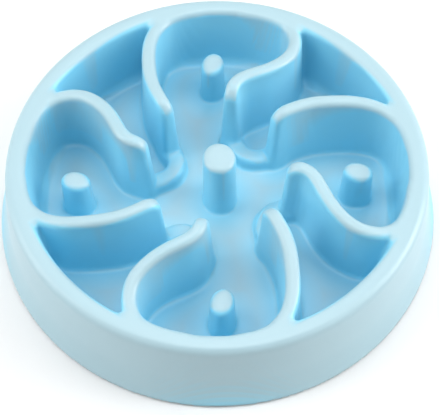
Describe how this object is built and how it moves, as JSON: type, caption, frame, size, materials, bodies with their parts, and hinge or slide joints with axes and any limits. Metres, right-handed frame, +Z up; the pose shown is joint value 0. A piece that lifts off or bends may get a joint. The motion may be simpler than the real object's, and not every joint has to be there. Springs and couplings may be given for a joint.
{
  "type": "slow feeder bowl",
  "caption": "Round slow feeder pet bowl with a pinwheel of curved maze walls and pegs inside a flared skirt, standing on rubber feet.",
  "frame": {"origin": "on the table under the middle of the bowl", "axes": "+Z up through the middle peg, +Y towards the petal cup farthest from the viewer in the picture, +X to its right"},
  "size_m": [0.2, 0.2, 0.0465],
  "materials": {
    "shell": "semi-gloss moulded pale blue",
    "rubber": "matte pale grey"
  },
  "bodies": {
    "root": {"bowl": "shell", "foot_1": "rubber", "foot_2": "rubber", "foot_3": "rubber", "foot_4": "rubber"}
  },
  "joints": []
}
